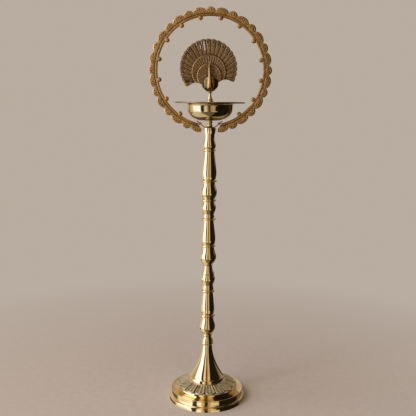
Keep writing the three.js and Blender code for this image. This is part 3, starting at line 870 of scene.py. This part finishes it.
def dress_bird(solid, foot):
    """Raises wings on the body's sides and fine feathers on neck and breast, along the normals."""
    mesh = solid.data
    count = len(mesh.vertices)
    at, normal = np.empty(count * 3), np.empty(count * 3)
    mesh.vertices.foreach_get("co", at)
    mesh.vertices.foreach_get("normal", normal)
    at, normal = at.reshape(-1, 3), normal.reshape(-1, 3)
    x, y, z = at.T / MM
    z = z - foot / MM
    # a wing is a leaning oval on each side, with long feathers along it
    along = (y - 1.5) * 0.35 + (z - 19) * 0.94
    across = (y - 1.5) * 0.94 - (z - 19) * 0.35
    oval = np.hypot(across / 7.5, along / 11.5)
    on_side = smooth(7, 11, np.abs(x))
    wing = on_side * (1 - smooth(0.88, 1.0, oval))
    feathers = 0.5 + 0.5 * np.cos(across * 2.6 + 0.05 * along ** 2)
    lift = wing * (0.55 + 0.22 * feathers)
    edge = on_side * hump(oval - 1.0, 0.06)
    in_front = smooth(-3.5, -6, y) * smooth(3, 7, z) * (1 - smooth(53, 55, z))
    row = z / 2.1
    turn = np.arctan2(x, -(y + 8)) * 3.2
    scale = np.abs(np.sin(math.pi * (row + 0.5 * np.cos(turn * 2))))
    lift += in_front * 0.13 * scale
    on_body = smooth(5.5, 8.5, np.abs(x + 0.3)) + smooth(-6, -3, y)
    dark = 0.8 * edge + 0.45 * wing * (1 - feathers) + 0.35 * in_front * (1 - scale) ** 2
    dark = np.clip(dark + 0.5 * np.minimum(on_body, 1), 0, 1)
    at += normal * (lift * MM)[:, None]
    mesh.vertices.foreach_set("co", at.ravel())
    layer = mesh.attributes.new("patina_and_shade", "FLOAT", "POINT")
    layer.data.foreach_set("value", dark.astype(np.float32))


# ---------- tail fan ----------

FAN = {
    "x": 0.6 * MM,
    "hub": 742 * MM,
    "lean": math.radians(6.5),
    "radius": 64.5 * MM,
    "rise": 40 * MM,  # outer circle's centre over the hub
    "feathers": 22,
    "spread": math.radians(251),
    "origin": 15 * MM,  # the feathers' midribs meet this far over the hub
}
TIERS = ((39 * MM, 31.5 * MM), (28 * MM, 22.5 * MM))  # radius and rise of the nearer tiers
FOLD = {"x": -48.5 * MM, "z": 16.5 * MM, "wide": 8 * MM, "high": 4.2 * MM}  # a feather rolled over
SLITS = ((0.4, 2.4, 20), (1.25, 1.4, 10))  # feathers from the middle, width and length in millimetres


def feather_place(x, z, radius, rise, feathers):
    """For points over the hub: how far across a feather from -1 to 1, half its width there and
    the distance in from the tier's edge. Midribs are rays from the fan's origin."""
    dx, dz = x, z - FAN["origin"]
    reach = np.maximum(np.hypot(dx, dz), TINY)
    ux, uz = dx / reach, dz / reach
    offset = FAN["origin"] - rise
    along = -offset * uz + np.sqrt(np.maximum(radius ** 2 - (offset * ux) ** 2, TINY))
    turn = np.arctan2(along * ux, offset + along * uz)
    number = (turn + FAN["spread"] / 2) / FAN["spread"] * feathers
    across = 2 * (number % 1) - 1
    half_width = radius * FAN["spread"] / feathers / 2 * reach / np.maximum(along, TINY)
    return across, half_width, radius - np.hypot(x, z - rise)


def outer_feathers(x, z):
    """Relief of the back tier: a row of eyes near the tips, a row of small marks, and barbs."""
    across, half_width, inward = feather_place(x, z, FAN["radius"], FAN["rise"], FAN["feathers"])
    side = (1 - np.abs(across)) * half_width / MM
    off = across * half_width / MM
    inward = inward / MM
    groove = hump(side, 0.75)
    rib = hump(off, 0.45) * smooth(9, 11, inward)
    eye = np.hypot(off, (inward - 6.2) / 1.12)
    ring = hump(eye - 3.3, 0.75)
    pip = hump(eye, 1.25)
    mark = np.hypot(off, (inward - 14.5) / 1.5)
    small_ring = hump(mark - 1.7, 0.55)
    away = (1 - hump(eye, 3.9)) * (1 - hump(mark, 2.4)) * smooth(0.4, 1.4, side)
    barbs = np.cos((inward + 0.9 * np.abs(off)) * TAU / 3.1) * away
    lift = 0.75 * ring + 0.6 * pip + 0.5 * small_ring + 0.45 * rib + 0.2 * barbs - 0.85 * groove
    lift = lift - 0.4 * hump(eye - 1.9, 0.8)
    dark = groove + 0.9 * hump(eye - 1.9, 0.8) + 0.8 * hump(mark, 1.1) + 0.4 * away * (0.5 - 0.5 * barbs)
    return lift, dark


def middle_feathers(x, z):
    """Relief of the middle tier: rope-like stripes."""
    across, half_width, inward = feather_place(x, z, *TIERS[0], 26)
    side = (1 - np.abs(across)) * half_width / MM
    off = across * half_width / MM
    rope = np.cos((inward / MM + 1.1 * off) * TAU / 2.3)
    groove = hump(side, 0.55)
    lift = 0.7 * np.sqrt(np.clip(1 - across ** 2, 0, 1)) + 0.12 * rope * (1 - groove) - 0.4 * groove
    return lift, groove + 0.2 * (0.5 - 0.5 * rope)


def inner_scales(x, z):
    """Relief of the front tier: rows of overlapping scales, each with a curled middle."""
    radius, rise = TIERS[1]
    inward = (radius - np.hypot(x, z - rise)) / MM
    row = inward / 6.4
    number = np.floor(row)
    number_across = 19 - 3.5 * number
    turn = np.arctan2(x, z - rise * 0.35)
    across = (turn / FAN["spread"] * number_across + 0.5 * (number % 2)) % 1 * 2 - 1
    down = row - number
    tip = np.hypot(across, (down - 0.55) / 0.62)
    rim = hump(tip - 0.86, 0.15)
    curl = hump(np.hypot(across, (down - 0.5) / 0.62) - 0.38, 0.13)
    lift = 0.6 * rim + 0.5 * curl + 0.2 * (1 - down)
    dark = smooth(0.95, 1.15, tip) * 0.9 + 0.35 * hump(tip - 0.6, 0.14)
    return lift, dark


def fan_edge(turn):
    """The outline's distance from the outer circle's centre, at angles from straight up."""
    spread, count = FAN["spread"], FAN["feathers"]
    part = (turn + spread / 2) / spread * count % 1
    scallop = FAN["radius"] + (-1.2 + 2.2 * np.sin(math.pi * np.clip(part, 0, 1)) ** 0.6) * MM
    # below the last feathers: quadratic curves in to the bird's side, then a straight foot
    tip = np.array([math.sin(spread / 2), math.cos(spread / 2)]) * (FAN["radius"] - 1.2 * MM)
    over_hub = np.array([0, FAN["rise"]])
    bend, side, foot = (np.array(point) * MM - over_hub for point in ((33, 19), (15, 2), (10, -5)))
    t = np.linspace(0, 1, 60)[:, None]
    line = np.vstack([(1 - t) ** 2 * tip + 2 * t * (1 - t) * bend + t * t * side, foot, [0, foot[1]]])
    angles = np.maximum.accumulate(np.arctan2(line[:, 0], line[:, 1]) + 1e-6 * np.arange(len(line)))
    lower = np.interp(np.abs(turn), angles, np.hypot(line[:, 0], line[:, 1]))
    return np.where(np.abs(turn) < spread / 2, scallop, lower)


def from_fold(x, z):
    """0 in the middle of the rolled feather and 1 on its raised lip."""
    return np.hypot((x - FOLD["x"]) / FOLD["wide"], (z - FOLD["z"]) / FOLD["high"])


def highlight_fan_left(piece, back):
    """Painted highlight: on one side, the left and lit one, the nearer tiers' rims and the fan's tip get a
    brighter brass.
    """
    def lit_side(x, y, z):
        in_front = y < back - MM and x < -8 * MM
        on_rim = any(0.3 * MM < radius - math.hypot(x, z - rise) < 2.3 * MM for radius, rise in TIERS)
        on_tip = x < FOLD["x"] + FOLD["wide"] and z < FOLD["z"] and from_fold(x, z) > 0.8
        return in_front and (on_rim or on_tip)

    finish(piece, SLOT_OF["tail_fan"], "rubbed_brass", lit_side)


def fan_relief(x, z, inward):
    """Height of the fan's front over its back in millimetres, and its dark recesses, with a painted shadow of
    the neck.
    """
    outer, outer_dark = outer_feathers(x, z)
    middle, middle_dark = middle_feathers(x, z)
    inner, inner_dark = inner_scales(x, z)
    in_middle, in_inner = ((radius - np.hypot(x, z - rise)) / MM for radius, rise in TIERS)
    step_middle, step_inner = smooth(-0.35, 0.35, in_middle), smooth(-0.35, 0.35, in_inner)
    rim_middle, rim_inner = hump(in_middle - 1.3, 1.4), hump(in_inner - 1.3, 1.4)
    fade_middle, fade_inner = smooth(2.2, 3.4, in_middle), smooth(2.2, 3.4, in_inner)
    height = 1.75 + outer * smooth(0.3, 1.6, inward) * (1 - step_middle)
    height += step_middle * (1.25 + middle * fade_middle + 1.1 * rim_middle) * (1 - step_inner)
    height += step_inner * (2.45 + inner * fade_inner + 1.2 * rim_inner)
    height += 0.3 * hump(inward - 0.8, 0.7) * (1 - step_middle)
    height *= 0.55 + 0.45 * smooth(-0.1, 0.9, inward)
    folded = from_fold(x, z)
    height += 0.7 * hump(folded - 1, 0.22) - 0.4 * hump(folded, 0.6)
    height += 0.1 * wave_noise(x / MM * 0.2, z / MM * 0.2, seed=9)
    dark = outer_dark * (1 - step_middle)
    dark += middle_dark * fade_middle * (1 - step_inner) + inner_dark * fade_inner
    dark += 0.8 * hump(in_middle + 0.7, 0.7) + 0.8 * hump(in_inner + 0.7, 0.7) + 0.7 * hump(folded, 0.6)
    dark *= 1 - 0.9 * np.maximum(rim_middle, rim_inner)
    # painted shadow: the neck's shadow on the fan, just right of it
    dark += 0.5 * hump(x / MM - 7.5, 9) * smooth(12, 20, z / MM) * smooth(54, 42, z / MM)
    return height, dark


def fan_slit(feather, width, length):
    """A cutting tool for a narrow opening along a feather, counted from the fan's middle."""
    turn = feather * FAN["spread"] / FAN["feathers"]
    x = FAN["radius"] * math.sin(turn)
    z = FAN["radius"] * math.cos(turn) + FAN["rise"] - FAN["origin"]
    middle = Matrix.Translation((-x * 0.84, 0, FAN["origin"] + z * 0.84))
    corner = Vector((width / 2, 10, length / 2)) * MM
    behind = Vector((0, 15 * MM, 0))
    return block(behind - corner, behind + corner, middle @ Matrix.Rotation(-math.atan2(x, z), 4, "Y"))


def all_in_middle(face):
    """A row of points at the middle of the face's innermost row, which closes it."""
    return np.repeat(face[:1].mean(axis=1, keepdims=True), face.shape[1], axis=1)


def make_fan():
    """The tail plate: three tiers in relief on the front, and a nearly flat back."""
    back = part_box("tail_fan")[1].y
    wing, count = FAN["spread"] / 2, FAN["feathers"]
    turn = np.concatenate([
        np.linspace(-wing, wing, count * 18 + 1),
        np.linspace(wing, TAU - wing, 110)[1:-1],
    ])
    turn = np.where(turn > math.pi, turn - TAU, turn)
    edge = fan_edge(turn)
    share = np.concatenate([np.linspace(0.02, 0.3, 12), np.linspace(0.3, 0.985, 74)[1:], [0.993, 1.0]])
    radius = edge * share[:, None]
    x, z = radius * np.sin(turn), FAN["rise"] + radius * np.cos(turn)
    inward = (edge - radius) / MM
    height, dark = fan_relief(x, z, inward)
    rear = 0.12 * wave_noise(x / MM * 0.15, z / MM * 0.15, seed=5)
    rear = np.minimum(rear - 0.35 * (1 - smooth(-0.1, 0.8, inward)), 0)
    front_face = np.stack([x, back - height * MM, z], axis=-1)
    rear_face = np.stack([x, back + rear * MM, z], axis=-1)
    skin = np.concatenate([all_in_middle(front_face), front_face, rear_face[::-1], all_in_middle(rear_face)])
    plain = np.full((len(share) + 1, len(turn)), 0.5)
    shade = np.concatenate([dark[:1], np.clip(dark, 0, 1), plain])
    piece = make_object("tail_fan_feathers", *grid(skin, wrap_columns=True), patina_and_shade=shade)
    highlight_fan_left(piece, back)
    carve(piece, *(fan_slit(*slit) for slit in SLITS))
    lean = Matrix.Rotation(-FAN["lean"], 4, "Y")
    piece.data.transform(Matrix.Translation((FAN["x"], 0, FAN["hub"])) @ lean)
    return carve(piece, body_egg(room=1.2), screw_hole(2 * MM, 30 * MM))


# ---------- the lamp ----------

STEPS_ROUND = {
    "base_drum": 192,
    "base_trumpet": 160,
    "stem_lower": 96,
    "stem_middle": 96,
    "stem_upper": 96,
    "bowl_neck": 72,
    "oil_bowl": 192,
    "bowl_boss": 72,
    "finial_stalk": 72,
    "tie_washer": 72,
}
PITCH_OF = {
    "tie_rod": 1.5 * MM,
    "stud_lower": 1.5 * MM,
    "stud_middle": 1.5 * MM,
    "stud_upper": 1.5 * MM,
    "bowl_stud": 1.0 * MM,
    "finial_stud": 1.0 * MM,
}


def make_halo_screw(side, name):
    head = ARM["thickness"] / 2 + AIR
    return make_screw(name, 1.15 * MM, -8 * MM, 2.8 * MM, head, head + 1.9 * MM, screw_place(side))


def make_tail_screw():
    low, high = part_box("tail_screw")
    middle = (low + high) / 2
    place = Matrix.Translation((middle.x, 0, middle.z)) @ Matrix.Rotation(-math.pi / 2, 4, "X")
    return make_screw("tail_screw_slotted", 1.2 * MM, low.y, 3 * MM, high.y - 2 * MM, high.y, place)


def build_lamp():
    brim_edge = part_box("oil_bowl")[1].x - 2.2 * MM
    for node, steps in STEPS_ROUND.items():
        name = node.removeprefix("base_") + "_turned"
        piece = stands_for(turned(name, node, steps), node)
        if node == "oil_bowl":
            finish(piece, "bowl_brass", "aged_bronze", lambda x, y, z: math.hypot(x, y) > brim_edge)
    stands_for(make_lotus_disc(), "lotus_disc")
    for node, pitch in PITCH_OF.items():
        stands_for(make_threaded_bar(node, pitch), node)
    stands_for(make_nut("tie_nut", PITCH_OF["tie_rod"]), "tie_nut")
    stands_for(make_strap(), "halo_strap")
    stands_for(make_halo_ring(), "halo_ring")
    for side, node in ((1, "halo_screw_right"), (-1, "halo_screw_left")):
        stands_for(make_halo_screw(side, node + "_slotted"), node)
    stands_for(make_bird(), "peacock_body")
    stands_for(make_fan(), "tail_fan")
    stands_for(make_tail_screw(), "tail_screw")


# ---------- floor, light and camera ----------

PALE = (0.485, 0.413, 0.352, 1)  # the plain backdrop, and the floor where it meets it


def make_floor():
    """A round pale floor that fades into the backdrop. Polished metal sees past it to the soft
    boxes below its level, as it does on a small table in a studio."""
    rings = np.concatenate([[0], np.geomspace(0.05, 6, 24)])
    turns = TAU * np.arange(96) / 96
    points = np.array([[(r * math.cos(t), r * math.sin(t), 0) for t in turns] for r in rings])
    floor = make_object("floor", *grid(points[::-1], wrap_columns=True))
    material = bpy.data.materials.new("floor")
    material.use_nodes = True
    tree = material.node_tree
    place = shader(tree, "TexCoord").outputs["Object"]
    reach = shader(tree, "VectorMath", {0: place}, operation="LENGTH").outputs["Value"]
    far = remap(tree, reach, 0.25, 1.1, 0, 1)
    grain = noise(tree, place, 60, Detail=3)
    tint = blend(tree, remap(tree, grain, 0.3, 0.7, 0, 1), (0.60, 0.51, 0.44, 1), (0.64, 0.55, 0.475, 1))
    lit = shader(tree, "BsdfDiffuse", {"Color": tint}).outputs[0]
    backdrop = shader(tree, "Emission", {"Color": PALE}).outputs[0]
    seen = shader(tree, "MixShader", {0: far, 1: lit, 2: backdrop}).outputs[0]
    clear = shader(tree, "BsdfTransparent").outputs[0]
    glossy = shader(tree, "LightPath").outputs["Is Glossy Ray"]
    both = shader(tree, "MixShader", {0: glossy, 1: seen, 2: clear}).outputs[0]
    tree.links.new(both, tree.nodes["Material Output"].inputs["Surface"])
    floor.data.materials.append(material)


# what stands round the lamp at its own level, by direction in degrees to the right of the
# camera's side: a broad soft box on the left, black flags, and warm panels in front
AROUND = (
    (-180, (0.45, 0.40, 0.34)),
    (-160, (0.66, 0.60, 0.52)),
    (-108, (0.46, 0.38, 0.27)),
    (-101, (0.48, 0.38, 0.25)),
    (-97, (1.45, 1.35, 1.2)),
    (-84, (1.85, 1.95, 2.5)),
    (-49, (1.85, 1.95, 2.5)),
    (-46, (0.05, 0.04, 0.03)),
    (-31, (0.05, 0.04, 0.03)),
    (-28, (0.75, 0.62, 0.45)),
    (-22, (1.1, 0.97, 0.80)),
    (-14, (0.95, 0.80, 0.55)),
    (-10, (0.40, 0.26, 0.13)),
    (-4, (0.10, 0.06, 0.03)),
    (2, (0.12, 0.07, 0.035)),
    (6, (0.55, 0.40, 0.22)),
    (16, (0.75, 0.60, 0.36)),
    (26, (0.60, 0.46, 0.27)),
    (31, (0.012, 0.010, 0.008)),
    (104, (0.016, 0.012, 0.010)),
    (113, (0.24, 0.16, 0.09)),
    (135, (0.34, 0.28, 0.21)),
    (160, (0.33, 0.28, 0.23)),
    (180, (0.45, 0.40, 0.34)),
)

# what the foot's upright sides see, a little lower: the table lies behind and beside
AT_FOOT = (
    (-180, (0.15, 0.09, 0.055)),
    (-112, (0.17, 0.11, 0.065)),
    (-105, (0.90, 0.86, 0.76)),
    (-60, (1.08, 1.03, 0.92)),
    (-48, (1.45, 1.45, 1.5)),
    (-44, (0.05, 0.045, 0.035)),
    (-33, (0.05, 0.045, 0.035)),
    (-29, (1.3, 1.3, 1.35)),
    (-18, (1.15, 1.1, 1.0)),
    (-14, (0.62, 0.52, 0.26)),
    (-7, (0.55, 0.45, 0.22)),
    (-5.5, (0.02, 0.015, 0.01)),
    (3.5, (0.02, 0.015, 0.01)),
    (5, (0.55, 0.40, 0.20)),
    (12, (0.62, 0.46, 0.25)),
    (14, (0.84, 0.74, 0.54)),
    (39, (0.80, 0.70, 0.50)),
    (41, (0.014, 0.011, 0.009)),
    (112, (0.014, 0.011, 0.009)),
    (124, (0.16, 0.10, 0.06)),
    (180, (0.15, 0.09, 0.055)),
)

# and what a bowl's underside sees, lower still
BELOW = (
    (-180, (0.12, 0.065, 0.035)),
    (-154, (0.12, 0.065, 0.035)),
    (-142, (0.76, 0.70, 0.54)),
    (-60, (0.92, 0.85, 0.66)),
    (-46, (0.30, 0.24, 0.16)),
    (-30, (0.20, 0.16, 0.11)),
    (28, (0.18, 0.14, 0.09)),
    (36, (0.015, 0.012, 0.010)),
    (118, (0.015, 0.012, 0.010)),
    (136, (0.42, 0.30, 0.20)),
    (154, (0.40, 0.28, 0.19)),
    (164, (0.12, 0.065, 0.035)),
    (180, (0.12, 0.065, 0.035)),
)

# behind the lamp on either side: how far aside each begins and is full, and its colour
FLANKS = (
    (-0.5, -0.65, (0.80, 0.68, 0.48, 1)),
    (0.3, 0.45, (0.02, 0.014, 0.010, 1)),
)
CEILING = (0.30, 0.25, 0.17, 1)


def ramp_round(tree, share, stops):
    """A colour for each direction round the lamp."""
    ramp = shader(tree, "ValToRGB", {"Fac": share})
    kept = ramp.color_ramp.elements
    while len(kept) > 1:
        kept.remove(kept[-1])
    for i, (degrees, colour) in enumerate(stops):
        stop = kept[0] if i == 0 else kept.new(degrees / 360 + 0.5)
        stop.position = degrees / 360 + 0.5
        stop.color = (*colour, 1)
    return ramp.outputs["Color"]


def light_world():
    """Soft panels and flags all round, seen only in reflections. The camera sees plain pale."""
    world = bpy.data.worlds.new("studio")
    bpy.context.scene.world = world
    world.use_nodes = True
    tree = world.node_tree
    tree.nodes.clear()
    toward = shader(tree, "TexCoord").outputs["Generated"]
    aside, behind, up = shader(tree, "SeparateXYZ", {0: toward}).outputs
    front = arithmetic(tree, "MULTIPLY", behind, -1.0)
    azimuth = arithmetic(tree, "ARCTAN2", aside, front)
    share = remap(tree, azimuth, -math.pi, math.pi, 0, 1)
    level = ramp_round(tree, share, AROUND)
    rising = remap(tree, up, 0.06, -0.02, 0, 1)
    back = arithmetic(tree, "MULTIPLY", remap(tree, behind, 0.05, 0.2, 0, 1), rising)
    for low, high, colour in FLANKS:
        flank_share = arithmetic(tree, "MULTIPLY", remap(tree, aside, low, high, 0, 1), back)
        level = blend(tree, flank_share, level, colour)
    level = blend(tree, remap(tree, up, 0.82, 0.95, 0, 1), level, CEILING)
    level = blend(tree, remap(tree, up, -0.36, -0.40, 0, 1), level, ramp_round(tree, share, AT_FOOT))
    around = blend(tree, remap(tree, up, -0.46, -0.51, 0, 1), level, ramp_round(tree, share, BELOW))
    uneven = noise(tree, toward, 5.0, Detail=3)
    glow = remap(tree, uneven, 0.3, 0.7, 0.8, 1.15)
    camera = shader(tree, "LightPath").outputs["Is Camera Ray"]
    seen = blend(tree, camera, around, PALE)
    strength = shader(tree, "Mix", {0: camera, 2: glow, 3: 1.0}, data_type="FLOAT").outputs[0]
    shine = shader(tree, "Background", {"Color": seen, "Strength": strength}).outputs[0]
    output = shader(tree, "OutputWorld")
    tree.links.new(shine, output.inputs["Surface"])


def add_soft_box():
    """A large lamp up on the left, for the floor's soft shadow and the cast relief."""
    light = bpy.data.lights.new("soft_box", "AREA")
    light.shape = "RECTANGLE"
    light.size = light.size_y = 1.3 * HEIGHT
    light.energy = 26
    light.color = (1.0, 0.95, 0.88)
    box = linked("soft_box", light)
    box.location = (-1.5 * HEIGHT, -1.6 * HEIGHT, 2.0 * HEIGHT)
    aim = Vector((0, 0, 0.6 * HEIGHT)) - box.location
    box.rotation_euler = aim.to_track_quat("-Z", "Y").to_euler()
    box.visible_glossy = False


CAMERA = {
    "place": (-0.00175 * HEIGHT, -1.6536 * HEIGHT, 0.7738 * HEIGHT),
    "down": math.radians(9.2),
    "roll": 0.0109,
    "lens": 57.1,  # in millimetres, on film 36 wide
    "film": 36,
}


def add_camera():
    data = bpy.data.cameras.new("camera")
    data.lens = CAMERA["lens"]
    data.sensor_width = CAMERA["film"]
    camera = linked("camera", data)
    camera.matrix_world = (
        Matrix.Translation(CAMERA["place"])
        @ Matrix.Rotation(math.pi / 2 - CAMERA["down"], 4, "X")
        @ Matrix.Rotation(CAMERA["roll"], 4, "Z")
    )
    bpy.context.scene.camera = camera


build_lamp()
make_floor()
light_world()
add_soft_box()
add_camera()
bpy.context.scene.view_settings.view_transform = "Standard"

bpy.context.view_layer.update()
